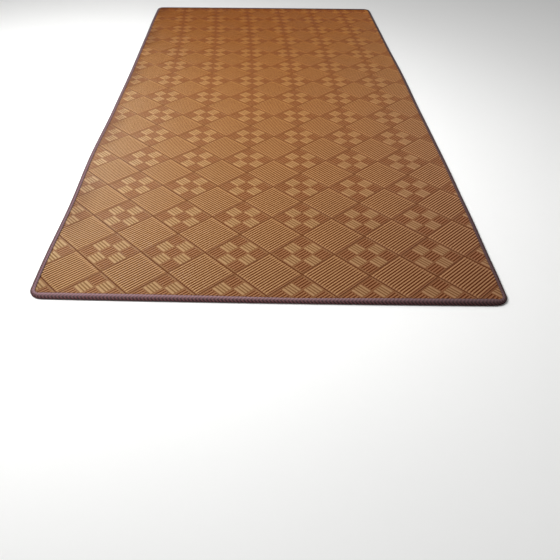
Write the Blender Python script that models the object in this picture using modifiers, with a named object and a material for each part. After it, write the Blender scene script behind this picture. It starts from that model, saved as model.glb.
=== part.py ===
"""A bound sleeping mat, lying flat: one woven panel, and the tape folded round its cut edge.

Metres, +Z up. X runs across the mat and Y along it, and the origin is under its middle, on the
surface that it lies on.
"""

from math import cos, pi, sin, tau

import bmesh
import bpy
from mathutils import Vector

# Driving sizes of the bound mat
MAT_WIDTH = 0.905
MAT_LENGTH = 1.888
CORNER_RADIUS = 0.036
END_BOW = 0.0025

# The long sides aren't quite straight: how far each stands out, by place along the mat
SIDE_SWAY_COLUMNS = ("along", "left", "right")
SIDE_SWAY = (
    (-0.944, 0.0020, -0.0090),
    (-0.830, 0.0030, -0.0060),
    (-0.630, 0.0000, -0.0015),
    (-0.400, 0.0040, 0.0015),
    (-0.100, -0.0015, 0.0015),
    (0.180, -0.0030, 0.0035),
    (0.520, -0.0010, -0.0005),
    (0.800, 0.0010, -0.0020),
    (0.944, 0.0000, -0.0030),
)

# The woven panel
PANEL_THICKNESS = 0.0024
PANEL_RIM_ROUND = 0.0008
PANEL_RAMP = 0.016

# The binding tape
TAPE_THICKNESS = 0.0010
TAPE_COVER = 0.0105
TAPE_FOLD_RADIUS = 0.0020
TAPE_RIM_ROUND = 0.0003

# Meshing
GAP = 0.0003
SIDE_STEP = 0.055
END_STEP = 0.070
CORNER_STEPS = 8
FOLD_STEPS = 4

# What follows from the sizes above
PANEL_LIFT = TAPE_THICKNESS + GAP
PANEL_INSET = TAPE_THICKNESS + GAP
BOUND_THICKNESS = 2 * (TAPE_THICKNESS + GAP) + PANEL_THICKNESS
HALF_WIDTH = MAT_WIDTH / 2
HALF_LENGTH = MAT_LENGTH / 2

# Finishes: base colour, roughness
RATTAN = ((0.36, 0.155, 0.055, 1.0), 0.45)
TAPE = ((0.115, 0.062, 0.070, 1.0), 0.75)


def clear_scene():
    for obj in list(bpy.data.objects):
        bpy.data.objects.remove(obj)


def new_collection(name):
    collection = bpy.data.collections.new(name)
    bpy.context.scene.collection.children.link(collection)
    return collection


def finish_material(name, finish):
    """A plain material from a base colour and a roughness."""
    colour, roughness = finish
    material = bpy.data.materials.new(name)
    material.use_nodes = True
    shader = material.node_tree.nodes["Principled BSDF"]
    shader.inputs["Base Color"].default_value = colour
    shader.inputs["Roughness"].default_value = roughness
    shader.inputs["Metallic"].default_value = 0.0
    return material


def eased(table, along, column):
    """The table's value at this place, eased from row to row with no kink."""
    if along <= table[0][0]:
        return table[0][column]
    for low, high in zip(table, table[1:]):
        if along <= high[0]:
            share = (along - low[0]) / (high[0] - low[0])
            return low[column] + (high[column] - low[column]) * share * share * (3 - 2 * share)
    return table[-1][column]


def swayed(x, y):
    """A point of the plain rounded rectangle, moved to where the mat's edge really lies."""
    side = SIDE_SWAY_COLUMNS.index("left" if x < 0 else "right")
    sway = eased(SIDE_SWAY, y, side) * x / HALF_WIDTH
    bow = END_BOW * (1 - (x / HALF_WIDTH) ** 2) * y / HALF_LENGTH
    return Vector((x + sway, y + bow))


def centred(points):
    """The points, moved so that the middle of their box is the origin."""
    ends = [[pick(point[axis] for point in points) for axis in (0, 1)] for pick in (min, max)]
    middle = (Vector(ends[0]) + Vector(ends[1])) / 2
    return [point - middle for point in points]


def evenly(start, end, step):
    """Places from start up to, but without, end, about a step apart."""
    count = max(1, round(abs(end - start) / step))
    return [start + (end - start) * k / count for k in range(count)]


def edge_line():
    """The mat's outer edge, counter-clockwise from the near end of its right side."""
    flat_x = HALF_WIDTH - CORNER_RADIUS
    flat_y = HALF_LENGTH - CORNER_RADIUS
    sides = (
        [(HALF_WIDTH, y) for y in evenly(-flat_y, flat_y, SIDE_STEP)],
        [(x, HALF_LENGTH) for x in evenly(flat_x, -flat_x, END_STEP)],
        [(-HALF_WIDTH, y) for y in evenly(flat_y, -flat_y, SIDE_STEP)],
        [(x, -HALF_LENGTH) for x in evenly(-flat_x, flat_x, END_STEP)],
    )
    centres = ((flat_x, flat_y), (-flat_x, flat_y), (-flat_x, -flat_y), (flat_x, -flat_y))
    points = []
    for quarter, (side, (cx, cy)) in enumerate(zip(sides, centres)):
        points += side
        for k in range(CORNER_STEPS):
            angle = (quarter + k / CORNER_STEPS) * pi / 2
            points.append((cx + CORNER_RADIUS * cos(angle), cy + CORNER_RADIUS * sin(angle)))
    return centred([swayed(x, y) for x, y in points])


def inset_line(line, inset):
    """The closed line, moved inwards by inset."""
    moved = []
    for k, point in enumerate(line):
        before = (point - line[k - 1]).normalized()
        after = (line[(k + 1) % len(line)] - point).normalized()
        along = (before + after).normalized()
        mitre = inset / max(along.dot(after), 0.5)
        moved.append(point + Vector((-along.y, along.x)) * mitre)
    return moved


def poly_curve(name, points, closed):
    curve = bpy.data.curves.new(name, "CURVE")
    curve.dimensions = "2D"
    spline = curve.splines.new("POLY")
    spline.points.add(len(points) - 1)
    for slot, (x, y) in zip(spline.points, points):
        slot.co = (x, y, 0.0, 1.0)
    spline.use_cyclic_u = closed
    return bpy.data.objects.new(name, curve)


def add_solidify(obj, thickness, offset):
    modifier = obj.modifiers.new("Thickness", "SOLIDIFY")
    modifier.thickness = thickness
    modifier.offset = offset
    modifier.use_even_offset = True


def add_rim_bevel(obj, width, segments):
    modifier = obj.modifiers.new("Rim", "BEVEL")
    modifier.width = width
    modifier.segments = segments
    modifier.limit_method = "ANGLE"
    modifier.angle_limit = pi / 4


def fold_profile():
    """The tape's outer face in section: under the mat, round its edge and back over it.

    Each point is a distance in from the edge and a height.
    """
    radius = TAPE_FOLD_RADIUS
    points = [(TAPE_COVER, 0.0)]
    for low in (True, False):
        centre = radius if low else BOUND_THICKNESS - radius
        start = 0.75 if low else 0.5
        for k in range(FOLD_STEPS + 1):
            angle = (start - 0.25 * k / FOLD_STEPS) * tau
            points.append((radius + radius * cos(angle), centre + radius * sin(angle)))
    points.append((TAPE_COVER, BOUND_THICKNESS))
    return points


def build_panel(collection, edge):
    """The cut length of weave. Its border rides up over the tape's lower flap."""
    mesh = bpy.data.meshes.new("woven_panel")
    bm = bmesh.new()
    line = inset_line(edge, PANEL_INSET)
    field = bm.faces.new([bm.verts.new((p.x, p.y, PANEL_LIFT)) for p in line])
    bm.normal_update()
    for width, drop in ((TAPE_COVER + GAP - PANEL_INSET, 0.0), (PANEL_RAMP, PANEL_LIFT)):
        bmesh.ops.inset_region(
            bm, faces=[field], thickness=width, depth=-drop, use_boundary=True, use_even_offset=True
        )
    bm.to_mesh(mesh)
    bm.free()
    panel = bpy.data.objects.new("woven_panel", mesh)
    collection.objects.link(panel)
    add_solidify(panel, PANEL_THICKNESS, 1.0)
    add_rim_bevel(panel, PANEL_RIM_ROUND, 2)
    mesh.materials.append(finish_material("woven_rattan", RATTAN))
    return panel


def build_binding(collection, guides, edge):
    """One strip of tape, folded lengthwise and carried round all four corners."""
    section = poly_curve("tape_section", fold_profile(), closed=False)
    path = poly_curve("tape_path", edge, closed=True)
    for guide in (section, path):
        guides.objects.link(guide)
        guide.hide_render = True
        guide.display_type = "WIRE"
    path.data.bevel_mode = "OBJECT"
    path.data.bevel_object = section
    bpy.context.view_layer.update()
    graph = bpy.context.evaluated_depsgraph_get()
    mesh = bpy.data.meshes.new_from_object(path.evaluated_get(graph))
    mesh.name = "edge_binding"
    path.data.bevel_object = None
    binding = bpy.data.objects.new("edge_binding", mesh)
    collection.objects.link(binding)
    add_solidify(binding, TAPE_THICKNESS, -1.0)
    add_rim_bevel(binding, TAPE_RIM_ROUND, 1)
    mesh.materials.clear()
    mesh.materials.append(finish_material("binding_tape", TAPE))
    return binding


def shade(obj):
    obj.data.shade_smooth()
    obj.data.set_sharp_from_angle(angle=pi / 6)


def main():
    clear_scene()
    mat = new_collection("bound_woven_mat")
    guides = new_collection("guides")
    edge = edge_line()
    shade(build_panel(mat, edge))
    shade(build_binding(mat, guides, edge))


main()
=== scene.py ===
"""The finished look of a woven cane mat with a tape binding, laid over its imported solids.

Metres, +Z up. X runs across the mat and Y along it. The weave's trellis is made of two squares that
stand on a corner: one is all raised ribs, and the other holds a check of nine small cells. Inside a
square, X runs along its ribs, up to the right, and Y up to the left, until the square is turned.
"""

from math import atan2, cos, floor, pi, radians, sin, sqrt, tau

import bmesh
import bpy
import numpy as np
from bpy.props import FloatProperty, FloatVectorProperty, IntProperty, PointerProperty
from mathutils import Matrix, Vector


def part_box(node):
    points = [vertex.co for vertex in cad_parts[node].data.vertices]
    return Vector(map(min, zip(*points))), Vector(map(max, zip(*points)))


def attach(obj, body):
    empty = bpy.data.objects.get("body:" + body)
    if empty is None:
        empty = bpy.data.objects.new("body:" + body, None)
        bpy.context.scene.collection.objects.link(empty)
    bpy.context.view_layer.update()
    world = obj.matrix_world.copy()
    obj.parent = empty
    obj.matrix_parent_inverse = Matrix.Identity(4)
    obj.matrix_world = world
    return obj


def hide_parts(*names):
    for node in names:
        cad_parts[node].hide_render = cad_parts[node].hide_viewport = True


bl_info = {
    "name": "Woven Mat Finish",
    "version": (1, 0, 0),
    "blender": (4, 5, 0),
    "location": "View3D > Sidebar > Woven Mat",
    "description": "Weaves, binds and lights a cane sleeping mat",
    "category": "Object",
}

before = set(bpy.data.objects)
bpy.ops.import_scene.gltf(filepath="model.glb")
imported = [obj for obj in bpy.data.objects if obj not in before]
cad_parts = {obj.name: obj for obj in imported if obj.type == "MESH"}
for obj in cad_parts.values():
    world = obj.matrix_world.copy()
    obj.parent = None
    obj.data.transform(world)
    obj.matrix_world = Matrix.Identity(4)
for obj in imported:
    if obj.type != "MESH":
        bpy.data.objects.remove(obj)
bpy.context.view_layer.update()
PANEL_NODE, BINDING_NODE = "woven_panel", "edge_binding"

MAT_LOW, MAT_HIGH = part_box(BINDING_NODE)
TAPE_THICKNESS = 0.0010
CLEARANCE = 0.0003
PANEL_LIFT = TAPE_THICKNESS + CLEARANCE
PANEL_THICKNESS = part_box(PANEL_NODE)[1].z - PANEL_LIFT
SOLID_RADIUS, CORNER_RADIUS = 0.036, 0.027
WELD = 0.00001

# The step at which the mat's edge is read, and how many times it is smoothed
EDGE_STEP, SMOOTHINGS = 0.001, 4

# How light each kind of woven surface is, from the bottom of a groove to the crest of a rib
GROOVE, CROSS_LINE, THIN_LINE, GROUND = 0.0, 0.12, 0.25, 0.45
BAND, EDGE, LIGHT_CELL, RIB = 0.55, 0.62, 0.8, 1.0

# Its strips run along the mat where it is lighter than this, and across it where it is darker
LIGHT_FROM = 0.7


def colour(name, description, *default, most=1):
    return FloatVectorProperty(
        name=name, description=description, default=(*default, 1), subtype="COLOR", size=4, min=0,
        max=most
    )


def colour_change(name, where, *default):
    return colour(name, "Change of colour " + where, *default, most=2)


def length(name, description, default):
    return FloatProperty(name=name, description=description, default=default, unit="LENGTH", precision=5)


def angle(name, description, degrees):
    return FloatProperty(
        name=name, description=description, default=radians(degrees), unit="ROTATION", precision=3
    )


def power(name, description, default):
    return FloatProperty(name=name, description=description, default=default, unit="POWER")


def share(name, description, default):
    return FloatProperty(
        name=name, description=description, default=default, subtype="FACTOR", min=0, max=1
    )


class WeaveSettings(bpy.types.PropertyGroup):
    """Sizes and colours of the woven panel."""

    repeat: length("Repeat", "One repeat of the trellis, across and along the mat", 0.132)
    strips: IntProperty(name="Strips", description="Strips in one repeat", default=44)
    column: length("Column", "X of a column of checks, before the bow", 0.0817)
    row: length("Row", "Y of a row of checks", -0.928)
    bow_middle: length("Bow", "How far right the columns lie halfway along the mat", 0.0090)
    bow_rate: FloatProperty(name="Bow rate", description="How fast the columns curve back", default=0.0348)
    groove_depth: length("Groove depth", "Depth of the dark grooves below the ribs", 0.00085)
    groove_half: length("Groove half width", "From a groove's middle to the rib beside it", 0.00170)
    groove_shift: length("Groove shift", "How far down the grooves lie in their square", 0.00095)
    groove_left: length("Groove left end", "From the square's left side to where its grooves start", 0.0062)
    groove_right: length("Groove right end", "From where its grooves end to its right side", 0.0085)
    line_left: length("Line left", "How far a trellis line reaches in at the ribs' left ends", 0.0014)
    line_right: length("Line right", "How far a trellis line reaches in at the ribs' right ends", 0.0020)
    cross_reach: length("Cross reach", "How far a trellis line reaches in at the top of the ribs", 0.0012)
    cross_below: length("Cross below", "Width of the flat bottom of the trellis line below a check", 0.0021)
    cross_above: length("Cross above", "Width of the flat bottom of the trellis line above a check", 0.0015)
    line_gap: length("Line gap", "From a trellis line to where the lines across it start", 0.0040)
    line_width: length("Line width", "Width of the flat bottom of a trellis line", 0.0028)
    shelf_slope: length("Shelf slope", "Width of the slope from a trellis line up to a check", 0.0005)
    rim: length("Rim", "Width of the plain rim that joins the trellis's squares", 0.0002)
    rib_crown: length("Rib crown", "How much higher a rib's middle is than its edges", 0.00016)
    rib_tip: length("Rib tip", "Length of the slope at the end of a rib", 0.0009)
    rib_droop: length("Rib droop", "How far down the ribs turn at their left ends", 0.0012)
    band_depth: length("Band depth", "Depth of the plain bands below the ribs", 0.00030)
    cell_pitch: length("Cell pitch", "From the middle of one cell of a check to the next", 0.0291)
    cell_half: length("Cell half", "Half the width of one cell", 0.0130)
    cell_shift: length("Cell shift", "How far left the cells lie in their square", 0.0009)
    tuck: length("Tuck", "From the mat's edge to the panel's edge, inside the tape", 0.0026)
    swell: length("Swell", "How far the panel rises from the floor in its slow waves", 0.0009)
    rib_colour: colour("Ribs", "Colour of the light ribs", 0.443, 0.2143, 0.0724)
    light_cell_colour: colour("Light cells", "Colour of the light cells", 0.405, 0.2066, 0.0735)
    band_colour: colour("Bands", "Colour of the plain bands", 0.2224, 0.0847, 0.0252)
    ground_colour: colour("Dark cells", "Colour between the dark cells' grooves", 0.348, 0.143, 0.048)
    line_colour: colour("Thin lines", "Colour of the lines in the light cells", 0.21, 0.088, 0.024)
    groove_colour: colour("Grooves", "Colour of the dark grooves", 0.118, 0.029, 0.005)
    cross_line_colour: colour("Cross lines", "Colour of the lines beside a check", 0.158, 0.049, 0.0133)
    # The corner, side and end tints are painted light: a sheen near the left and the fall of light across
    near_left_painted_light: colour_change("Near left tint", "at this corner", 0.845, 1.13, 1.503)
    near_right_painted_light: colour_change("Near right tint", "at this corner", 0.667, 0.735, 1.04)
    far_left_painted_light: colour_change("Far left tint", "at this corner", 0.912, 0.674, 0.2)
    far_right_painted_light: colour_change("Far right tint", "at this corner", 1.284, 1.046, 0.601)
    side_painted_light: colour_change("Side tint", "at the middle of the mat's sides", 1.061, 1.234, 1.659)
    end_painted_light: colour_change("End tint", "at the mat's ends", 1.054, 0.956, 0.931)
    # The patch tint is painted shade, in soft dark patches along the left side
    shade_patch_tint: colour_change("Patch tint", "in the patches by the left side", 0.78, 0.72, 0.70)
    shade_patch_pitch: length("Patch pitch", "Distance between those patches", 0.39)
    shade_patch_place: length("Patch place", "Y of the middle of one of those patches", -0.61)
    roughness: share("Roughness", "Roughness of the cane", 0.42)
    shine: share("Shine", "Specular level of the cane", 0.05)


class BindingSettings(bpy.types.PropertyGroup):
    """Sizes and colours of the tape and its stitches."""

    twill: length("Twill", "Distance between the tape's slanted ribs, along it", 0.0069)
    herringbone: length("Herringbone", "Width of the tape's ribs before they slant back", 0.0066)
    twill_depth: length("Twill depth", "Depth between the tape's slanted ribs", 0.00022)
    sections: IntProperty(name="Sections", description="Cross sections of the tape to each rib", default=4)
    end_cover: length("End cover", "How much wider the tape lies at the far end", 0.0030)
    left_cover: length("Left cover", "How much narrower the tape lies on the left", 0.0012)
    right_cover: length("Right cover", "How much narrower the tape lies on the right", 0.0021)
    corner_cover: length("Corner cover", "How much narrower the tape lies round the corners", 0.0020)
    stitch_length: length("Stitch length", "Length of one stitch", 0.0030)
    stitch_pitch: length("Stitch pitch", "Distance from one stitch to the next", 0.0044)
    stitch_inset: length("Stitch inset", "From the mat's edge to the stitches", 0.0106)
    stitch_lean: angle("Stitch lean", "How far each stitch turns from the edge", 25)
    # The low fold colours are darkened as painted shade, where the fold turns away from the light
    rib_colour: colour("Ribs", "Colour of the tape's ribs low on the fold", 0.105, 0.04, 0.04)
    shade_colour: colour("Shade", "Colour between those ribs", 0.012, 0.0035, 0.0035)
    rim_colour: colour("Rim ribs", "Colour of the tape's ribs near its rim", 0.265, 0.178, 0.187)
    rim_shade_colour: colour("Rim shade", "Colour between those ribs", 0.17, 0.104, 0.112)
    # The right and near tints are painted light: painted shade on the right, painted light at the near end
    left_tint: colour_change("Left tint", "on the mat's left half", 0.84, 0.72, 0.77)
    right_painted_shade: colour_change("Right tint", "at the mat's right side", 0.41, 0.33, 0.335)
    near_painted_light: colour_change("Near tint", "at the mat's near end", 1.21, 1.27, 1.26)
    thread_colour: colour("Thread", "Colour of the stitches", 0.07, 0.035, 0.032)
    roughness: share("Roughness", "Roughness of the tape", 0.7)


class StageSettings(bpy.types.PropertyGroup):
    """The floor, the lights and the camera."""

    floor_size: length("Floor size", "Side of the floor", 24.0)
    floor_colour: colour("Floor", "Colour of the floor", 0.90, 0.90, 0.89)
    sky_colour: colour("Sky", "Colour of the light from all round", 1.0, 1.0, 1.0)
    sky_strength: FloatProperty(name="Sky strength", description="Light from all round", default=0.35)
    key_power: power("Key", "Power of the large light high on the left", 24)
    near_left_power: power("Near left", "Power of the light above the mat's near left", 13)
    window_power: power("Window", "Power of the light beyond the mat's far left", 1.6)
    camera_place: FloatVectorProperty(
        name="Camera", description="Where the camera stands", default=(-0.0360, -1.7660, 0.7376),
        subtype="XYZ", unit="LENGTH"
    )
    camera_lens: FloatProperty(name="Lens", description="Focal length in millimetres", default=38.23)
    camera_pitch: angle("Pitch", "How far down the camera looks", 39.77)
    camera_turn: angle("Turn", "How far left of +Y the camera looks", 0.966)
    camera_roll: angle("Roll", "How far the camera leans left", 0.244)
    camera_shift: FloatVectorProperty(
        name="Shift", description="Shift of the picture, in picture widths", default=(0.0652, 0.0009), size=2
    )


# Meshes

AXES = (Vector((1, 0, 0)), Vector((0, 1, 0)))


def to_mesh(bm, name):
    """Makes the bmesh a mesh, and frees it."""
    mesh = bpy.data.meshes.new(name)
    bm.to_mesh(mesh)
    bm.free()
    return mesh


def place(name, data):
    """Puts the data in the scene as an object."""
    made = bpy.data.objects.new(name, data)
    bpy.context.scene.collection.objects.link(made)
    return made


def to_object(bm, name):
    return place(name, to_mesh(bm, name))


def add_copy(bm, mesh, move):
    """Adds the mesh to the bmesh, moved."""
    mesh.transform(move)
    bm.from_mesh(mesh)
    mesh.transform(move.inverted())


def faces_in(geometry):
    return [item for item in geometry if isinstance(item, bmesh.types.BMFace)]


def with_edges(faces):
    """The faces with all their edges and corners, each once and always in the same order."""
    geometry = dict.fromkeys(faces)
    for face in faces:
        geometry.update(dict.fromkeys(face.edges))
        geometry.update(dict.fromkeys(face.verts))
    return list(geometry)


def split(bm, faces, point, outwards, clear=False):
    """Cuts the faces along a plane, can clear what lies beyond it, and returns the faces there are."""
    made = bmesh.ops.bisect_plane(
        bm, geom=with_edges(faces), dist=1e-7, plane_co=point, plane_no=outwards, clear_outer=clear
    )
    return faces_in(made["geom"])


def cut(bm, faces, axis, spots):
    """Cuts the faces across an axis at each spot, and returns them all."""
    for spot in spots:
        faces = split(bm, faces, AXES[axis] * spot, AXES[axis])
    return faces


def paint(bm, faces, tone):
    layer = bm.faces.layers.float["tone"]
    for face in faces:
        face[layer] = tone


def within(faces, low, high):
    """The faces whose middles lie between two corners."""
    found = []
    for face in faces:
        middle = face.calc_center_bounds()
        if low[0] < middle.x < high[0] and low[1] < middle.y < high[1]:
            found.append(face)
    return found


def reshape(bm, change):
    """Moves all the corners at once, by a function that changes an array of their places."""
    places = np.array([vert.co for vert in bm.verts])
    change(places)
    for vert, spot in zip(bm.verts, places):
        vert.co = spot


# The mat's edge


def run_along(line):
    """How far along the line each of its points is."""
    return np.concatenate([[0], np.cumsum(np.hypot(*np.diff(line, axis=0).T))])


def points_at(places, run, line):
    """The points this far along the line."""
    return np.column_stack([np.interp(places, run, line[:, axis]) for axis in (0, 1)])


def longest_loop(edges):
    """The corners of the longest closed loop that the edges make, in order."""
    loops, unused = [], dict.fromkeys(edges)
    while unused:
        loop = list(unused.popitem()[0].verts)
        while loop[-1] != loop[0]:
            edge = next(edge for edge in loop[-1].link_edges if edge in unused)
            unused.pop(edge)
            loop.append(edge.other_vert(loop[-1]))
        loops.append(np.array([vert.co.xy for vert in loop[1:]]))
    return max(loops, key=lambda loop: np.ptp(loop, axis=0).sum())


def evenly(line, step):
    """The closed line at even steps."""
    closed = np.vstack([line, line[:1]])
    run = run_along(closed)
    count = round(run[-1] / step)
    return points_at(np.arange(count) * run[-1] / count, run, closed)


def tighten(points):
    """Gives the straightened edge its finished corner radius in place of the solid's."""
    centre = np.array(MAT_HIGH.xy) - SOLID_RADIUS
    beyond = abs(points) - centre
    corner = (beyond > 0).all(axis=1)
    moved = centre + SOLID_RADIUS - CORNER_RADIUS + beyond * CORNER_RADIUS / SOLID_RADIUS
    points[corner] = (np.sign(points) * moved)[corner]


def mat_edge(step):
    """The mat's outer edge at even steps, counter-clockwise, read halfway up the binding's fold.

    It starts at the far end, so the tape's ends meet there.
    """
    bm = bmesh.new()
    bm.from_mesh(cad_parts[BINDING_NODE].data)
    bmesh.ops.remove_doubles(bm, verts=bm.verts[:], dist=1e-6)
    middle = (0, 0, (MAT_LOW.z + MAT_HIGH.z) / 2)
    made = bmesh.ops.bisect_plane(
        bm, geom=bm.verts[:] + bm.edges[:] + bm.faces[:], plane_co=middle, plane_no=(0, 0, 1)
    )
    line = longest_loop(item for item in made["geom_cut"] if isinstance(item, bmesh.types.BMEdge))
    bm.free()
    if np.cross(line[:-1], line[1:]).sum() < 0:
        line = line[::-1]
    line = np.roll(line, -line[:, 1].argmax(), axis=0)
    line = evenly(line, EDGE_STEP)
    sides = side_tables(line)
    straighten(line, sides)
    tighten(line)
    straighten(line, sides, back=True)
    line = evenly(line, step)
    for _ in range(SMOOTHINGS):
        line = (np.roll(line, 1, 0) + 2 * line + np.roll(line, -1, 0)) / 4
    return line


def side_tables(line):
    """Each side of the mat as a table: the places along it, and how far out it lies there."""
    tables = {}
    for axis in (0, 1):
        along = line[:, 1 - axis]
        straight = abs(along) < along.max() - SOLID_RADIUS
        for sign in (-1, 1):
            side = line[straight & (line[:, axis] * sign > 0)]
            side = side[np.argsort(side[:, 1 - axis])]
            tables[axis, sign] = (side[:, 1 - axis], side[:, axis])
    return tables


def straighten(points, sides, back=False):
    """Moves the mat's swaying sides onto those of its box, and all between them in step, or back."""
    for axis in (1, 0) if back else (0, 1):
        half = MAT_HIGH[axis]
        low, high = (np.interp(points[:, 1 - axis], *sides[axis, sign]) for sign in (-1, 1))
        if back:
            points[:, axis] = low + (points[:, axis] + half) / (2 * half) * (high - low)
        else:
            points[:, axis] = (points[:, axis] - low) / (high - low) * 2 * half - half


def edge_distance(points):
    """How far in from the straightened mat's edge each point is, up to the corner radius."""
    beyond = [np.maximum(abs(points[:, axis]) - (MAT_HIGH[axis] - CORNER_RADIUS), 0) for axis in (0, 1)]
    return CORNER_RADIUS - np.hypot(*beyond)


# The weave

# Where a ribbed square's grooves lie, in strips from its middle
RIBBED_GROOVES = np.arange(-19.5, 20, 3)

# The grooves of a dark cell and the lines of a light one: where they lie, in steps from the cell's
# middle, the step, and the widths that carve takes
DARK_STEPS, DARK_STEP, DARK_WIDTHS = (-1.5, -0.5, 0.5, 1.5), 0.0065, (0.0017, 0, 0.0012)
LIGHT_STEPS, LIGHT_STEP, LIGHT_WIDTHS = (-1, 0, 1), 0.0064, (0.0016, 0.0008, 0.0010)
THIN_LINE_DEPTH, LIGHT_CELL_DEPTH = 0.00030, 0.00005

# An edge no longer than RIB_END is a rib's end, and a face whose normal's Z is more than FLAT is flat
RIB_END, FLAT = 0.0022, 0.9999


def carve(bm, faces, low, high, across, grooves, levels, widths, tones):
    """Cuts ribs and grooves into one rectangle of the weave.

    grooves are the places of the groove middles on the axis across them. levels are the heights of the
    rectangle's rim, the groove bottoms, the rib edges and the rib crowns. widths are the half width of a
    groove, the slope at the rectangle's two long sides, and the slope at its two ends.
    """
    along = 1 - across
    rim, bottom, edge, crown = levels
    half, side_slope, end_slope = widths
    profile = [(low[across], rim)]
    if edge != rim:
        profile.append((low[across] + side_slope, edge))
    for groove in grooves:
        profile += [(groove - half, edge), (groove, bottom), (groove + half, edge)]
    if edge != rim:
        profile.append((high[across] - side_slope, edge))
    profile.append((high[across], rim))
    if crown != edge:
        tops = [(a[0] + b[0]) / 2 for a, b in zip(profile, profile[1:]) if a[1] == b[1] == edge]
        profile = sorted(profile + [(top, crown) for top in tops])
    places, heights = zip(*profile)
    ends = (low[along], low[along] + end_slope, high[along] - end_slope, high[along])
    tone = bm.faces.layers.float["tone"]
    ribs, slopes = [], []
    for face in cut(bm, faces, across, places[1:-1]):
        middle = face.calc_center_bounds()[across]
        in_groove = any(abs(middle - groove) < half for groove in grooves)
        face[tone] = tones[in_groove]
        (slopes if in_groove or edge != rim else ribs).append(face)
    faces = ribs + cut(bm, slopes, along, ends[1:3])
    for vert in {vert for face in faces for vert in face.verts}:
        rise = np.interp(vert.co[across], places, heights) - rim
        vert.co.z = rim + rise * np.interp(vert.co[along], ends, (0, 1, 1, 0))
    return faces


def square_half(weave):
    return weave.repeat / sqrt(8)


def strip_across(weave):
    """The width of one strip, measured across a diagonal rib."""
    return weave.repeat / weave.strips / sqrt(2)


def blank_square(weave):
    """One square of the trellis, at the depth of its grooves.

    Returns its bmesh, and the face inside its narrow rim. Only that face is cut later, so the squares'
    outer sides stay whole and weld to their neighbours.
    """
    bm = bmesh.new()
    bm.faces.layers.float.new("tone")
    bmesh.ops.create_grid(bm, x_segments=1, y_segments=1, size=square_half(weave))
    bmesh.ops.translate(bm, verts=bm.verts[:], vec=(0, 0, -weave.groove_depth))
    bm.normal_update()
    field = bm.faces[:]
    bmesh.ops.inset_region(
        bm, faces=field, thickness=weave.rim, use_boundary=True, use_even_offset=True
    )
    return bm, field


def tone_cross_line(bm, floors, left, right, weave):
    """Darkens the bottom of a trellis line along the ribs, but not where it nears the lines across."""
    tone = bm.faces.layers.float["tone"]
    gaps = (left + weave.line_gap, right - weave.line_gap)
    for face in cut(bm, floors, 0, gaps):
        face[tone] = CROSS_LINE if gaps[0] < face.calc_center_bounds().x < gaps[1] else BAND


def ribbed_square(weave):
    """The trellis square that is all ribs. Its grooves grow shallow and light towards both ends."""
    half, strip = square_half(weave), strip_across(weave)
    depth, tip = weave.groove_depth, weave.rib_tip
    left, right = weave.line_left - half, half - weave.line_right
    inner = half - weave.rim
    bm, field = blank_square(weave)
    top = half - weave.cross_reach
    field = within(cut(bm, field, 0, (left, right)), (left, -inner), (right, inner))
    field = cut(bm, field, 1, (top,))
    tone_cross_line(bm, within(field, (left, top), (right, inner)), left, right, weave)
    field = within(field, (left, -inner), (right, top))
    grooves = [step * strip - weave.groove_shift for step in RIBBED_GROOVES]
    field = carve(
        bm, field, (left, -inner), (right, top), 1, grooves, (-depth, -depth, -weave.rib_crown, 0.0),
        (weave.groove_half, weave.rim, tip), (RIB, GROOVE)
    )
    tone = bm.faces.layers.float["tone"]
    lowest = grooves[0] - weave.groove_half
    paint(bm, within(field, (left, -inner), (right, lowest)), GROUND)
    deep = (weave.groove_left - half, half - weave.groove_right)
    ends = [face for face in field if face[tone] == GROOVE]
    for face in cut(bm, ends, 0, deep):
        if not deep[0] < face.calc_center_bounds().x < deep[1]:
            face[tone] = BAND
    for face in within(bm.faces, (left, lowest), (right, grooves[0] + weave.groove_half)):
        if face[tone] == GROOVE:
            face[tone] = CROSS_LINE
    for vert in bm.verts:
        at_left, at_right = (abs(vert.co.x - end) < WELD for end in (left + tip, right - tip))
        if (at_left or at_right) and -inner + WELD < vert.co.y < top - WELD:
            vert.co.z = max(vert.co.z, -weave.band_depth)
            if at_left:
                vert.co.y = max(vert.co.y - weave.rib_droop, -inner + 5 * WELD)
    return bm


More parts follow.
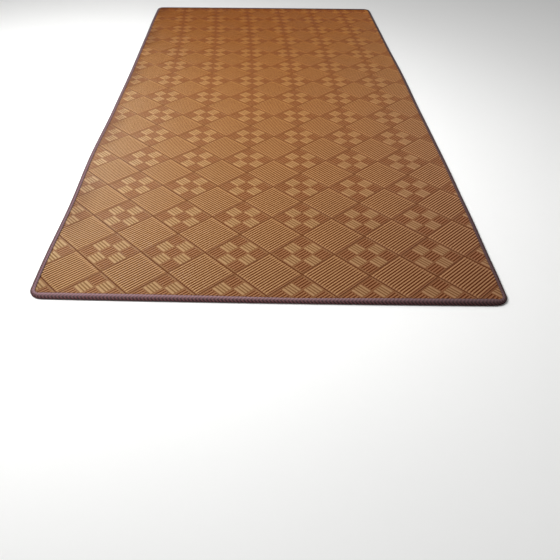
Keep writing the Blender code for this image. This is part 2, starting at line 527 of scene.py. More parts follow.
def checked_square(weave):
    """The trellis square with a check of nine cells: dark in its corners and middle, light between."""
    half, depth, level = square_half(weave), weave.groove_depth, -weave.band_depth
    left = weave.line_width - weave.line_right - half
    right = half - weave.line_width + weave.line_left
    low_corner = Vector((left, weave.cross_below - half))
    high_corner = Vector((right, half - weave.cross_above))
    bm, shelf = blank_square(weave)
    for slope in (0, weave.shelf_slope):
        low, high = low_corner + Vector((slope, slope)), high_corner - Vector((slope, slope))
        for axis in (0, 1):
            shelf = cut(bm, shelf, axis, (low[axis], high[axis]))
        shelf = within(shelf, low, high)
        paint(bm, shelf, BAND)
    for vert in {vert for face in shelf for vert in face.verts}:
        vert.co.z = level
    floors = within(bm.faces, (left, weave.rim - half), (right, low_corner.y))
    floors += within(bm.faces, (left, high_corner.y), (right, half - weave.rim))
    tone_cross_line(bm, floors, left, right, weave)
    middles = [(step - 1) * weave.cell_pitch for step in range(3)]
    reach = weave.cell_half
    shelf = cut(bm, shelf, 1, [middle + end for middle in middles for end in (-reach, reach)])
    for r, middle_y in enumerate(middles):
        row = within(shelf, (-half, middle_y - reach), (half, middle_y + reach))
        across = [middle - weave.cell_shift for middle in middles]
        row = cut(bm, row, 0, [middle + end for middle in across for end in (-reach, reach)])
        paint(bm, row, EDGE)
        paint(bm, within(row, (across[0] - reach, -half), (across[-1] + reach, half)), BAND)
        for c, middle_x in enumerate(across):
            low, high = ((middle_x + end, middle_y + end) for end in (-reach, reach))
            cell = within(row, low, high)
            if (c + r) % 2 == 0:
                grooves = [middle_y + step * DARK_STEP for step in DARK_STEPS]
                levels = (level, -depth, level, level)
                carve(bm, cell, low, high, 1, grooves, levels, DARK_WIDTHS, (GROUND, GROOVE))
            else:
                lines = [middle_x + step * LIGHT_STEP for step in LIGHT_STEPS]
                levels = (level, level - THIN_LINE_DEPTH, -LIGHT_CELL_DEPTH, -LIGHT_CELL_DEPTH)
                carve(bm, cell, low, high, 0, lines, levels, LIGHT_WIDTHS, (LIGHT_CELL, THIN_LINE))
    return bm


def crease_flats(bm):
    """Slopes run smoothly into each other along the ribs. Flats and the ribs' ends stay crisp."""
    bm.normal_update()
    for face in bm.faces:
        face.smooth = True
    for edge in bm.edges:
        if len(edge.link_faces) == 2:
            flat = [abs(face.normal.z) > FLAT for face in edge.link_faces]
            edge.smooth = flat[0] == flat[1] and edge.calc_length() > RIB_END


def column_bow(weave, y):
    """How far right the weave's columns lie at this place along the mat."""
    return weave.bow_middle - weave.bow_rate * y * y


def laid_weave(weave):
    """The whole field of squares, a little larger than the mat, with its columns bowed."""
    masters = []
    for bm in (checked_square(weave), ribbed_square(weave)):
        crease_flats(bm)
        masters.append(to_mesh(bm, "square"))
        masters[-1].transform(Matrix.Rotation(pi / 4, 4, "Z"))
    half_repeat = weave.repeat / 2
    reach = [MAT_HIGH[axis] + half_repeat for axis in (0, 1)]
    first = (weave.column, weave.row)
    lowest, highest = (
        [floor((sign * reach[axis] - first[axis]) / half_repeat) for axis in (0, 1)] for sign in (-1, 1)
    )
    columns, rows = (range(low, high + 1) for low, high in zip(lowest, highest))
    field = bmesh.new()
    for row in rows:
        y = weave.row + row * half_repeat
        for column in columns:
            x = weave.column + column * half_repeat
            if (row + column) % 2 or abs(x + column_bow(weave, y)) > reach[0]:
                continue
            add_copy(field, masters[column % 2], Matrix.Translation((x, y, 0)))
    for mesh in masters:
        bpy.data.meshes.remove(mesh)
    bmesh.ops.remove_doubles(field, verts=field.verts[:], dist=WELD)
    for vert in field.verts:
        vert.co.x += column_bow(weave, vert.co.y)
    return field


# The panel

# How far in from the mat's edge the panel bends, and the number of cuts round a corner
RAMP = (0.0110, 0.0160, 0.0210, 0.0268)
CORNER_CUTS = 6

# The number of strips its underside is cut into, across the mat and along it
UNDERSIDE_STRIPS = (10, 20)

# Its two slow waves, that multiply each other: radians per metre across and along the mat, and at 0, 0
SLOW_WAVES = ((7.1, 3.3, 0.8), (-5.9, 4.7, 2.1))


def trim(bm, inset):
    """Cuts the straightened weave to the mat's rounded shape, this far in from its edge."""
    half = [MAT_HIGH[axis] - inset for axis in (0, 1)]
    for axis in (0, 1):
        for sign in (-1, 1):
            split(bm, bm.faces[:], AXES[axis] * sign * half[axis], AXES[axis] * sign, clear=True)
    radius = CORNER_RADIUS - inset
    for quarter in range(4):
        side_x, side_y = ((1, 1), (-1, 1), (-1, -1), (1, -1))[quarter]
        centre = Vector((side_x * (half[0] - radius), side_y * (half[1] - radius), 0))
        near = []
        for face in bm.faces:
            if any((v.co.x - centre.x) * side_x > 0 and (v.co.y - centre.y) * side_y > 0 for v in face.verts):
                near.append(face)
        for k in range(CORNER_CUTS):
            turn = (quarter + (k + 0.5) / CORNER_CUTS) * pi / 2
            outwards = Vector((cos(turn), sin(turn), 0))
            near = split(bm, near, centre + outwards * radius, outwards, clear=True)


def cut_ramp(bm):
    """Lets the panel bend where it rises onto the tape's lower flap."""
    for axis in (0, 1):
        for sign in (-1, 1):
            places = [sign * (MAT_HIGH[axis] - inset) for inset in RAMP]
            reach = MAT_HIGH[axis] - RAMP[-1]
            near = [face for face in bm.faces if max(v.co[axis] * sign for v in face.verts) > reach]
            cut(bm, near, axis, places)


def underside(inset):
    """The panel's flat underside, straightened, as a mesh."""
    bm = bmesh.new()
    bm.faces.layers.float.new("tone")
    bmesh.ops.create_grid(bm, x_segments=1, y_segments=1, size=1)
    bmesh.ops.scale(bm, vec=(MAT_HIGH.x - inset, MAT_HIGH.y - inset, 1), verts=bm.verts[:])
    bmesh.ops.bevel(
        bm, geom=bm.verts[:], offset=CORNER_RADIUS - inset, affect="VERTICES",
        segments=CORNER_CUTS, profile=0.5, material=-1
    )
    for axis, count in enumerate(UNDERSIDE_STRIPS):
        inner = MAT_HIGH[axis] - RAMP[-1]
        places = [inner * (2 * k / count - 1) for k in range(count + 1)]
        places += [sign * (MAT_HIGH[axis] - ramp) for sign in (-1, 1) for ramp in RAMP[:-1]]
        cut(bm, bm.faces[:], axis, places)
    for face in bm.faces:
        face.smooth = True
    paint(bm, bm.faces, BAND)
    return to_mesh(bm, "underside")


def woven_panel(weave):
    """The woven panel: its relief above, its plain underside, and the edge between them."""
    sides = side_tables(mat_edge(3 * EDGE_STEP))
    bm = laid_weave(weave)
    reshape(bm, lambda points: straighten(points, sides))
    trim(bm, weave.tuck)
    cut_ramp(bm)
    bmesh.ops.translate(bm, vec=(0, 0, PANEL_THICKNESS), verts=bm.verts[:])
    bottom = underside(weave.tuck + PANEL_THICKNESS)
    bm.from_mesh(bottom)
    bpy.data.meshes.remove(bottom)
    made = bmesh.ops.triangle_fill(
        bm, edges=[edge for edge in bm.edges if edge.is_boundary], use_beauty=True, normal=(0, 0, 1)
    )
    paint(bm, faces_in(made["geom"]), BAND)
    bmesh.ops.dissolve_degenerate(bm, dist=WELD, edges=bm.edges[:])
    reshape(bm, lambda points: bend(points, weave))
    reshape(bm, lambda points: straighten(points, sides, back=True))
    bmesh.ops.recalc_face_normals(bm, faces=bm.faces[:])
    panel = to_object(bm, "cane_panel")
    map_weave(panel.data, weave)
    return panel


def bend(points, weave):
    """Lifts the panel over the tape's lower flap, and in slow waves between."""
    inset = edge_distance(points)
    ramp = np.clip((inset - RAMP[0]) / (RAMP[-1] - RAMP[0]), 0, 1)
    ramp = ramp * ramp * (3 - 2 * ramp)
    x, y = points[:, 0], points[:, 1]
    wave = np.prod([np.sin(per_x * x + per_y * y + start) for per_x, per_y, start in SLOW_WAVES], axis=0)
    points[:, 2] += PANEL_LIFT * (1 - ramp) + weave.swell * ramp * (0.5 + 0.5 * wave)


def map_weave(mesh, weave):
    """Maps each corner to its place in the weave, in repeats from the middle of a check."""
    points = np.empty(len(mesh.vertices) * 3)
    mesh.vertices.foreach_get("co", points)
    x, y = points.reshape(-1, 3)[:, :2].T
    places = np.column_stack([x - column_bow(weave, y) - weave.column, y - weave.row]) / weave.repeat
    corners = np.empty(len(mesh.loops), dtype=np.int32)
    mesh.loops.foreach_get("vertex_index", corners)
    mesh.uv_layers.new(name="weave").data.foreach_set("uv", places[corners].ravel())


# The binding

# The folded tape in section, each point a distance in from the mat's edge and a height, in millimetres:
# its outer face from the lower flap round the fold to the upper flap, and back along its inner face
TAPE_SECTION = (
    (10.50, 0.10), (10.00, 0.00), (7.00, 0.00), (4.00, 0.00), (2.00, 0.22), (0.80, 0.80), (0.15, 1.60),
    (0.00, 2.45), (0.22, 3.25), (0.80, 4.00), (1.80, 4.60), (3.20, 5.06), (4.80, 5.36), (6.40, 5.46),
    (8.00, 5.34), (9.40, 4.98), (10.30, 4.55), (10.50, 4.20), (10.20, 3.98), (8.00, 4.02), (4.00, 3.80),
    (1.80, 3.20), (1.15, 2.45), (1.80, 1.50), (4.00, 1.00), (10.30, 1.00), (10.60, 0.50), (10.50, 0.10),
)
# The last point of its outer face
OUTER_LAST = 16

# The heights where its ribs start, and where its upper half starts and is in full
TWILL_FROM, UPPER_FROM, UPPER_FULL = 0.0012, 0.0022, 0.0042

# Its slow unevenness: the waves round the mat and their size, for its width (as a share) and its height
SWAY_WAVES, SWAY = (61, 83, 131, 197), 0.006
PUFF_WAVES, PUFF = (47, 109, 173, 241), 0.00004

# The stitches' height above the floor, their width and thickness, how far their ends turn down, and
# how far each leans from its neighbours, in radians
STITCH_HEIGHT, STITCH_WIDTH, STITCH_THICKNESS = 0.0048, 0.0011, 0.0010
STITCH_DROOP, STITCH_SWING = 0.0009, 0.07

# How much wider than its section the tape lies at the mat's near end: places across the mat, and widths
NEAR_COVER = (
    (-0.45, -0.25, -0.12, 0.05, 0.22, 0.40), (0.0045, 0.0052, 0.0048, 0.0020, 0.0050, 0.0060)
)


def left_of(along):
    """The directions at right angles to these, on their left."""
    along = along / np.hypot(*along.T)[:, None]
    return np.column_stack([-along[:, 1], along[:, 0]])


def inward(line):
    """The direction into the mat at each point of its edge."""
    return left_of(np.roll(line, -1, 0) - np.roll(line, 1, 0))


def slow_waves(places, total, counts, size):
    """A gentle unevenness that closes on itself round the mat."""
    turns = places / total * tau
    return size * sum(sin(count) * np.sin(count * turns + 1.7 * count) for count in counts)


def cover_scale(binding, line, inwards):
    """How wide the tape's upper flap lies, as a share of its drawn width.

    It is wider at the mat's ends, unevenly so at the near one, and drawn tight round the corners.
    """
    at_end = inwards[:, 1] ** 2
    at_corner = 4 * at_end * (1 - at_end)
    end_cover = np.where(inwards[:, 1] > 0, np.interp(line[:, 0], *NEAR_COVER), binding.end_cover)
    side_cover = np.where(line[:, 0] > 0, binding.right_cover, binding.left_cover)
    extra = at_end * end_cover - (1 - at_end) * side_cover - at_corner * binding.corner_cover
    return 1 + extra / (TAPE_SECTION[0][0] / 1000)


def folded_tape(binding):
    """The tape, laid out flat as a strip and then folded round the mat's edge."""
    section = np.array(TAPE_SECTION) / 1000
    run, out = run_along(section), left_of(np.gradient(section, axis=0))
    step = binding.twill / binding.sections
    line = mat_edge(step)
    inwards = inward(line)
    count, last = len(line), len(section) - 1
    bm = bmesh.new()
    bmesh.ops.create_grid(bm, x_segments=count, y_segments=last, size=0.5)
    flat = bm.loops.layers.uv.new("tape")
    spots = {}
    for vert in bm.verts:
        spots[vert] = (round((vert.co.x + 0.5) * count), round((vert.co.y + 0.5) * last))
    for face in bm.faces:
        face.smooth = True
        for loop in face.loops:
            station, point = spots[loop.vert]
            loop[flat].uv = (station * step, run[point])
    places = np.arange(count) * step
    sway = slow_waves(places, count * step, SWAY_WAVES, SWAY)
    puff = slow_waves(places, count * step, PUFF_WAVES, PUFF)
    cover = cover_scale(binding, line, inwards) + sway
    for vert, (station, point) in spots.items():
        k = station % count
        inset, height = section[point]
        upper = np.clip((height - UPPER_FROM) / (UPPER_FULL - UPPER_FROM), 0, 1)
        rib = 0
        if height > TWILL_FROM and point <= OUTER_LAST:
            rib = twill_rib(binding, places[k], run[point]) * binding.twill_depth
        spot = line[k] + inwards[k] * (inset * (1 + upper * (cover[k] - 1)) + rib * out[point][0])
        vert.co = (*spot, height + upper * puff[k] + rib * out[point][1])
    bmesh.ops.remove_doubles(bm, verts=bm.verts[:], dist=WELD)
    bmesh.ops.recalc_face_normals(bm, faces=bm.faces[:])
    return to_object(bm, "folded_tape")


def twill_rib(binding, along, across):
    """The height of the tape's slanted ribs at a place on it, from -1 in a valley to 0 on a rib."""
    turn = binding.herringbone
    slant = abs((across + turn / 2) % (2 * turn) - turn)
    return -0.5 + 0.5 * np.cos(tau * (along - slant) / binding.twill)


def tape_stitches(binding):
    """The row of stitches that holds the tape, each half sunk in its edge."""
    line = mat_edge(EDGE_STEP)
    inwards = inward(line)
    track = line + inwards * (binding.stitch_inset * cover_scale(binding, line, inwards))[:, None]
    closed = np.vstack([track, track[:1]])
    run = run_along(closed)
    count = round(run[-1] / binding.stitch_pitch)
    master = bmesh.new()
    bmesh.ops.create_uvsphere(master, u_segments=6, v_segments=5, radius=0.5)
    bmesh.ops.rotate(master, verts=master.verts[:], matrix=Matrix.Rotation(pi / 2, 3, "Y"))
    size = (binding.stitch_length, STITCH_WIDTH, STITCH_THICKNESS)
    bmesh.ops.scale(master, verts=master.verts[:], vec=size)
    for vert in master.verts:
        vert.co.z -= STITCH_DROOP * (2 * vert.co.x / binding.stitch_length) ** 2
    for face in master.faces:
        face.smooth = True
    mesh = to_mesh(master, "stitch")
    bm = bmesh.new()
    places = run[-1] * (np.arange(count) + 0.5) / count
    spots = points_at(places, run, closed)
    ways = points_at((places + EDGE_STEP) % run[-1], run, closed) - spots
    for k, (spot, way) in enumerate(zip(spots, ways)):
        turn = atan2(way[1], way[0]) + binding.stitch_lean + STITCH_SWING * sin(2.4 * k)
        add_copy(bm, mesh, Matrix.Translation((*spot, STITCH_HEIGHT)) @ Matrix.Rotation(turn, 4, "Z"))
    bpy.data.meshes.remove(mesh)
    return to_object(bm, "tape_stitches")


# Materials

# The distance between the tape's fine threads, where round its section it grows pale above the
# painted shade low on its fold, and where painted shade darkens it near its inner edge
THREAD_PITCH, PALE_RUN, RIM_GAP_SHADE_RUN = 0.0022, (0.0145, 0.0225), (0.0214, 0.0226)


class Nodes:
    """Adds nodes to a tree and joins them."""

    def __init__(self, tree):
        self.tree = tree

    def add(self, kind, sockets=(), **options):
        node = self.tree.nodes.new("ShaderNode" + kind)
        placed = len(self.tree.nodes)
        node.location = (190 * (placed % 10), -260 * (placed // 10))
        for name, value in options.items():
            setattr(node, name, value)
        for socket, value in dict(sockets).items():
            self.feed(node.inputs[socket], value)
        return node

    def feed(self, socket, value):
        if isinstance(value, bpy.types.NodeSocket):
            self.tree.links.new(value, socket)
        else:
            socket.default_value = value

    def math(self, operation, *values):
        return self.add("Math", enumerate(values), operation=operation).outputs[0]

    def times(self, first, *others):
        for other in others:
            first = self.math("MULTIPLY", first, other)
        return first

    def scale(self, vector, factor):
        return self.add("VectorMath", {0: vector, 3: factor}, operation="SCALE").outputs[0]

    def remap(self, value, low, high, new_low=0.0, new_high=1.0, smooth=True):
        sockets = {"Value": value, "From Min": low, "From Max": high, "To Min": new_low, "To Max": new_high}
        kind = "SMOOTHSTEP" if smooth else "LINEAR"
        return self.add("MapRange", sockets, interpolation_type=kind).outputs[0]

    def mix(self, factor, first, second, blend="MIX"):
        sockets = {0: factor, 6: first, 7: second}
        return self.add("Mix", sockets, data_type="RGBA", blend_type=blend).outputs[2]

    def blend(self, factor, first, second):
        return self.add("Mix", {0: factor, 2: first, 3: second}, data_type="FLOAT").outputs[0]

    def noise(self, vector, scale, detail, roughness):
        sockets = {"Vector": vector, "Scale": scale, "Detail": detail, "Roughness": roughness}
        return self.add("TexNoise", sockets).outputs["Fac"]

    def split(self, vector):
        return self.add("SeparateXYZ", {0: vector}).outputs

    def join(self, *values):
        return self.add("CombineXYZ", enumerate(values)).outputs[0]

    def group(self, build, **sockets):
        node = self.add("Group")
        node.node_tree = shared_group(build)
        for name, value in sockets.items():
            self.feed(node.inputs[name], value)
        return node.outputs

    def finish(self, shader, base, mask, roughness, swing, bump):
        """Feeds a shader its colour, its roughness as the mask swings it, and its bump."""
        self.feed(shader.inputs["Base Color"], base)
        rough = self.remap(mask, 0.3, 0.7, roughness - swing, roughness + swing)
        self.feed(shader.inputs["Roughness"], rough)
        self.feed(shader.inputs["Normal"], self.add("Bump", bump).outputs["Normal"])


def new_group(name, inputs, outputs):
    """An empty node group, with its sockets as (name, type, default), and its two end nodes."""
    tree = bpy.data.node_groups.new(name, "ShaderNodeTree")
    for title, kind, default in inputs:
        socket = tree.interface.new_socket(title, in_out="INPUT", socket_type="NodeSocket" + kind)
        if default is not None:
            socket.default_value = default
    for title, kind in outputs:
        tree.interface.new_socket(title, in_out="OUTPUT", socket_type="NodeSocket" + kind)
    nodes = Nodes(tree)
    start = tree.nodes.new("NodeGroupInput")
    end = tree.nodes.new("NodeGroupOutput")
    return tree, nodes, start.outputs, end.inputs


def mottling_group():
    """Slow blotches of use and dust, and a fine speckle, as a tint about 1."""
    tree, nodes, given, result = new_group(
        "Mottling",
        (("Vector", "Vector", None), ("Scale", "Float", 6.0), ("Amount", "Float", 0.1)),
        (("Tint", "Float"), ("Mask", "Float")),
    )
    slow = nodes.noise(given["Vector"], given["Scale"], 4.0, 0.55)
    fine = nodes.noise(given["Vector"], nodes.times(given["Scale"], 22.0), 2.0, 0.6)
    mask = nodes.math("ADD", nodes.times(slow, 0.75), nodes.times(fine, 0.25))
    swing = nodes.times(nodes.math("SUBTRACT", mask, 0.5), given["Amount"])
    nodes.feed(result["Tint"], nodes.math("ADD", nodes.times(swing, 2.0), 1.0))
    nodes.feed(result["Mask"], mask)
    return tree


def grain_group():
    """Fine fibres along the vector's X, as a tint about 1 and a height."""
    tree, nodes, given, result = new_group(
        "Fibre Grain",
        (("Vector", "Vector", None), ("Stretch", "Float", 12.0), ("Scale", "Float", 900.0),
         ("Amount", "Float", 0.2)),
        (("Tint", "Float"), ("Height", "Float")),
    )
    x, y, z = nodes.split(given["Vector"])
    drawn = nodes.join(nodes.math("DIVIDE", x, given["Stretch"]), y, z)
    fibres = nodes.noise(drawn, given["Scale"], 2.0, 0.65)
    swing = nodes.times(nodes.math("SUBTRACT", fibres, 0.5), given["Amount"])
    nodes.feed(result["Tint"], nodes.math("ADD", swing, 1.0))
    nodes.feed(result["Height"], fibres)
    return tree


def shared_group(build):
    """A node group that more than one material uses, built once."""
    title = build.__name__.removesuffix("_group")
    for tree in bpy.data.node_groups:
        if tree.get("title") == title:
            return tree
    tree = build()
    tree["title"] = title
    return tree


def new_material(name):
    """A new material, a way to add its nodes, its shader, and the place on the object."""
    material = bpy.data.materials.new(name)
    material.use_nodes = True
    tree = material.node_tree
    shader = tree.nodes["Principled BSDF"]
    shader.location = (2100, 0)
    tree.nodes["Material Output"].location = (2400, 0)
    nodes = Nodes(tree)
    return material, nodes, shader, nodes.add("TexCoord").outputs["Object"]


def cane_material(weave):
    """Split cane: light ribs, brown bands and dark grooves, all made of narrow strips."""
    material, nodes, shader, spot = new_material("woven_cane")
    tone = nodes.add("Attribute", attribute_name="tone").outputs["Fac"]
    u, v, _ = nodes.split(nodes.add("UVMap", uv_map="weave").outputs[0])

    ramp = nodes.add("ValToRGB", {0: tone})
    stops = (
        (GROOVE, weave.groove_colour), (CROSS_LINE, weave.cross_line_colour),
        (THIN_LINE, weave.line_colour), (GROUND, weave.ground_colour), (BAND, weave.band_colour),
        (LIGHT_CELL, weave.light_cell_colour), (RIB, weave.rib_colour),
    )
    elements = ramp.color_ramp.elements
    for k, (position, stop_colour) in enumerate(stops):
        element = elements[k] if k < 2 else elements.new(position)
        element.position, element.color = position, stop_colour
    base = ramp.outputs["Color"]

    # The narrow strips, and the dark seams between them
    light = nodes.math("GREATER_THAN", tone, LIGHT_FROM)
    strip_u, strip_v = (nodes.times(value, weave.strips) for value in (u, v))
    strip = nodes.blend(light, strip_v, strip_u)
    cross = nodes.blend(light, strip_u, strip_v)
    number = nodes.math("FLOOR", strip)
    edge = nodes.math("ABSOLUTE", nodes.math("SUBTRACT", nodes.math("FRACT", strip), 0.5))
    seam = nodes.remap(edge, 0.36, 0.5)
    length_spot = nodes.math("FLOOR", nodes.math("DIVIDE", nodes.math("ADD", cross, strip), 3.0))
    chance = nodes.add("TexWhiteNoise", {"Vector": nodes.join(number, length_spot, light)})
    strip_tint = nodes.remap(chance.outputs["Value"], 0.0, 1.0, 0.97, 1.03, smooth=False)

    strip_width = weave.repeat / weave.strips
    fibre_spot = nodes.join(*(nodes.times(way, strip_width) for way in (cross, strip)), 0.0)
    grain = nodes.group(grain_group, Vector=fibre_spot, Stretch=14.0, Scale=1400.0, Amount=0.25)
    mottling = nodes.group(mottling_group, Vector=spot, Scale=5.0, Amount=0.10)

    tint = nodes.times(strip_tint, grain["Tint"], mottling["Tint"])
    plain = nodes.math("COMPARE", tone, BAND, 0.05)
    seam = nodes.times(seam, nodes.remap(plain, 0.0, 1.0, 0.25, 1.0, smooth=False))
    tint = nodes.times(tint, nodes.remap(seam, 0.0, 1.0, 1.0, 0.95, smooth=False))
    base = nodes.scale(base, tint)

    # Painted light: slow colour changes paint a sheen near the left and the fall of light across the mat
    x, y, _ = nodes.split(spot)
    from_left = nodes.remap(x, MAT_LOW.x, MAT_HIGH.x, smooth=False)
    from_near = nodes.remap(y, MAT_LOW.y, MAT_HIGH.y, smooth=False)
    near = nodes.mix(from_left, weave.near_left_painted_light, weave.near_right_painted_light)
    far = nodes.mix(from_left, weave.far_left_painted_light, weave.far_right_painted_light)
    base = nodes.mix(1.0, base, nodes.mix(from_near, near, far), "MULTIPLY")
    at_side, at_end = (
        nodes.math("POWER", nodes.math("ABSOLUTE", nodes.math("DIVIDE", way, half)), 2.0)
        for way, half in ((x, MAT_HIGH.x), (y, MAT_HIGH.y))
    )
    at_side = nodes.times(at_side, nodes.math("SUBTRACT", 1.0, at_end))

    # Painted shade: soft dark patches follow one another along the left side
    turn = nodes.times(nodes.math("SUBTRACT", y, weave.shade_patch_place), tau / weave.shade_patch_pitch)
    by_left = nodes.remap(x, MAT_LOW.x + 0.07, MAT_LOW.x + 0.025)
    shade_patch = nodes.times(nodes.remap(nodes.math("COSINE", turn), -1.2, 0.9), by_left)
    changes = ((at_side, weave.side_painted_light), (at_end, weave.end_painted_light), (shade_patch, weave.shade_patch_tint))
    for amount, change in changes:
        base = nodes.mix(amount, base, change, "MULTIPLY")

    height = nodes.times(nodes.math("SUBTRACT", grain["Height"], seam), 0.00005)
    bump = {"Height": height, "Distance": 1.0, "Strength": 0.8}
    nodes.finish(shader, base, mottling["Mask"], weave.roughness, 0.06, bump)
    shader.inputs["Specular IOR Level"].default_value = weave.shine
    return material


def tape_material(binding):
    """Woven tape: slanted ribs round its fold, and a plain fine weave on its flaps."""
    material, nodes, shader, spot = new_material("woven_tape")
    laid = nodes.add("UVMap", uv_map="tape").outputs[0]
    along, across, _ = nodes.split(laid)

    # Slanted ribs that turn back and forth, dark low on its fold, with painted shade, and pale near its rim
    turn = binding.herringbone
    back = nodes.math("PINGPONG", nodes.math("ADD", across, turn / 2), turn)
    slant = nodes.math("DIVIDE", nodes.math("ADD", along, back), binding.twill)
    rib = nodes.remap(nodes.math("COSINE", nodes.times(slant, tau)), -0.6, 0.8)
    fine = [nodes.math("SINE", nodes.times(way, tau / THREAD_PITCH)) for way in (along, across)]
    thread = nodes.remap(nodes.times(*fine), -1.0, 1.0, smooth=False)

    mottling = nodes.group(mottling_group, Vector=spot, Scale=14.0, Amount=0.16)
    grain = nodes.group(grain_group, Vector=laid, Stretch=5.0, Scale=2600.0, Amount=0.3)
    lightness = nodes.math("ADD", nodes.times(rib, 0.85), nodes.times(thread, 0.15))
    fold = nodes.mix(lightness, binding.shade_colour, binding.rib_colour)
    rim = nodes.mix(lightness, binding.rim_shade_colour, binding.rim_colour)
    base = nodes.mix(nodes.remap(across, *PALE_RUN), fold, rim)
    base = nodes.scale(base, nodes.times(mottling["Tint"], grain["Tint"]))

    # Painted shade makes it darker and redder along the right side, and painted light palest at the near end
    x, y, _ = nodes.split(spot)
    rightwards = nodes.remap(x, 0.0, MAT_HIGH.x)
    side = nodes.mix(rightwards, binding.left_tint, binding.right_painted_shade)
    base = nodes.mix(1.0, base, side, "MULTIPLY")
    nearest = nodes.remap(y, MAT_LOW.y + 0.05, MAT_LOW.y + 0.02)
    base = nodes.mix(nearest, base, binding.near_painted_light, "MULTIPLY")

    # Painted shade darkens the tape near its inner edge, more on the right and not at the near end
    rim_gap_shade = nodes.times(
        nodes.remap(across, *RIM_GAP_SHADE_RUN), nodes.remap(nearest, 1.0, 0.0),
        nodes.remap(rightwards, 0.0, 1.0, 0.5, 0.8)
    )
    base = nodes.mix(rim_gap_shade, base, binding.thread_colour)

    height = nodes.math("ADD", nodes.times(thread, 0.00010), nodes.times(grain["Height"], 0.00006))
    bump = {"Height": height, "Distance": 1.0, "Strength": 0.9}
    nodes.finish(shader, base, mottling["Mask"], binding.roughness, 0.05, bump)
    shader.inputs["Specular IOR Level"].default_value = 0.15
    shader.inputs["Sheen Weight"].default_value = 0.1
    shader.inputs["Sheen Roughness"].default_value = 0.4
    return material


def thread_material(binding):
    """Twisted sewing thread."""
    material, nodes, shader, spot = new_material("sewing_thread")
    grain = nodes.group(grain_group, Vector=spot, Stretch=1.0, Scale=2400.0, Amount=0.5)
    mottling = nodes.group(mottling_group, Vector=spot, Scale=30.0, Amount=0.2)
    tint = nodes.times(mottling["Tint"], grain["Tint"])
    base = nodes.scale(binding.thread_colour[:3], tint)
    bump = {"Height": grain["Height"], "Distance": 0.0001, "Strength": 0.8}
    nodes.finish(shader, base, mottling["Mask"], 0.575, 0.075, bump)
    return material


def floor_material(stage):
    """A pale matt floor."""
    material, nodes, shader, spot = new_material("pale_floor")
    mottling = nodes.group(mottling_group, Vector=spot, Scale=2.0, Amount=0.02)
    nodes.feed(shader.inputs["Base Color"], nodes.scale(stage.floor_colour[:3], mottling["Tint"]))
    shader.inputs["Roughness"].default_value = 0.9
    return material


# The stage

# How far below the mat the floor lies
FLOOR_DROP = 0.0002

# Each light's name, its place, what it points at, its size and its spread
LIGHTS = (
    ("key", (-1.6, -0.1, 2.0), (0.0, -0.1, 0.0), 1.4, pi),
    ("near_left", (-1.0, -0.5, 1.6), (-0.2, -0.3, 0.0), 1.0, radians(100)),
    ("window", (-1.5, 2.8, 2.0), (-0.35, -0.35, 0.0), 0.9, radians(35)),
)


def add_lights(stage):
    for name, spot, target, size, spread in LIGHTS:
        light = bpy.data.lights.new(name, "AREA")
        light.size = size
        light.energy = getattr(stage, name + "_power")
        light.spread = spread
        lamp = place(name, light)
        lamp.location = spot
        lamp.rotation_euler = (Vector(target) - Vector(spot)).to_track_quat("-Z", "Y").to_euler()


def add_floor(stage):
    bm = bmesh.new()
    bmesh.ops.create_grid(bm, x_segments=1, y_segments=1, size=stage.floor_size / 2)
    bmesh.ops.translate(bm, vec=(0, 0, -FLOOR_DROP), verts=bm.verts[:])
    base = to_object(bm, "floor")
    base.data.materials.append(floor_material(stage))


def add_camera(stage):
    camera = bpy.data.cameras.new("camera")
    camera.lens = stage.camera_lens
    camera.sensor_width = 36
    camera.shift_x, camera.shift_y = stage.camera_shift
    camera.clip_start = 0.01
    seat = place("camera", camera)
    seat.matrix_world = (
        Matrix.Translation(stage.camera_place)
        @ Matrix.Rotation(stage.camera_turn, 4, "Z")
        @ Matrix.Rotation(pi / 2 - stage.camera_pitch, 4, "X")
        @ Matrix.Rotation(stage.camera_roll, 4, "Z")
    )
    bpy.context.scene.camera = seat


def add_sky(stage):
    world = bpy.data.worlds.new("pale_sky")
    world.use_nodes = True
    background = world.node_tree.nodes["Background"]
    background.inputs["Color"].default_value = stage.sky_colour
    background.inputs["Strength"].default_value = stage.sky_strength
    bpy.context.scene.world = world


# Operators


class MAT_OT_weave_panel(bpy.types.Operator):
    """Weave the cane panel and lay it in its binding."""

    bl_idname = "mat.weave_panel"
    bl_label = "Weave Panel"

    def execute(self, context):
        weave = context.scene.mat_weave
        panel = woven_panel(weave)
        panel.data.materials.append(cane_material(weave))
        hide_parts(PANEL_NODE)
        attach(panel, "root")
        return {"FINISHED"}


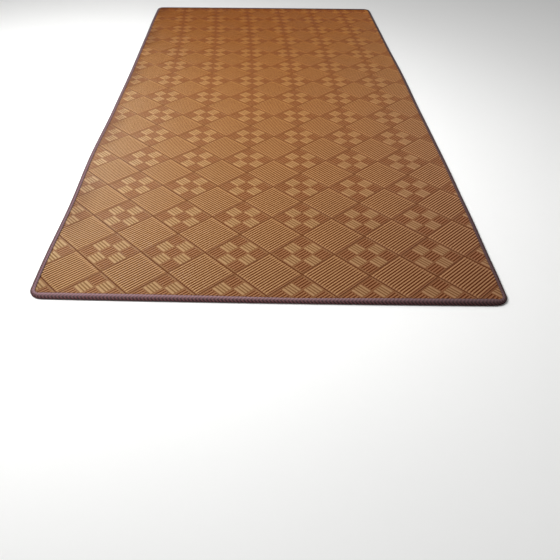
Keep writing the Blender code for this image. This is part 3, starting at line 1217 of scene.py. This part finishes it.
class MAT_OT_fold_binding(bpy.types.Operator):
    """Fold the tape round the mat's edge and stitch it down."""

    bl_idname = "mat.fold_binding"
    bl_label = "Fold Binding"

    def execute(self, context):
        binding = context.scene.mat_binding
        tape = folded_tape(binding)
        tape.data.materials.append(tape_material(binding))
        stitches = tape_stitches(binding)
        stitches.data.materials.append(thread_material(binding))
        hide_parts(BINDING_NODE)
        for piece in (tape, stitches):
            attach(piece, "root")
        return {"FINISHED"}


class MAT_OT_set_stage(bpy.types.Operator):
    """Put up the floor, the lights and the camera."""

    bl_idname = "mat.set_stage"
    bl_label = "Set Stage"

    def execute(self, context):
        stage = context.scene.mat_stage
        add_floor(stage)
        add_sky(stage)
        add_lights(stage)
        add_camera(stage)
        context.scene.view_settings.view_transform = "Standard"
        return {"FINISHED"}


class MAT_PT_finish(bpy.types.Panel):
    """The mat's settings, and a button for each of its pieces."""

    bl_idname = "MAT_PT_finish"
    bl_label = "Woven Mat"
    bl_space_type = "VIEW_3D"
    bl_region_type = "UI"
    bl_category = "Woven Mat"

    def draw(self, context):
        for group, operator in PIECES:
            owner = getattr(context.scene, group)
            box = self.layout.box()
            for name in owner.__annotations__:
                box.prop(owner, name)
            box.operator(operator)


PIECES = (
    ("mat_weave", "mat.weave_panel"),
    ("mat_binding", "mat.fold_binding"),
    ("mat_stage", "mat.set_stage"),
)
GROUPS = (WeaveSettings, BindingSettings, StageSettings)
CLASSES = (*GROUPS, MAT_OT_weave_panel, MAT_OT_fold_binding, MAT_OT_set_stage, MAT_PT_finish)


def register():
    for made in CLASSES:
        bpy.utils.register_class(made)
    for (name, _), group in zip(PIECES, GROUPS):
        setattr(bpy.types.Scene, name, PointerProperty(type=group))


def unregister():
    for name, _ in PIECES:
        delattr(bpy.types.Scene, name)
    for made in reversed(CLASSES):
        bpy.utils.unregister_class(made)


def main():
    register()
    bpy.ops.mat.weave_panel()
    bpy.ops.mat.fold_binding()
    bpy.ops.mat.set_stage()


if __name__ == "__main__":
    main()
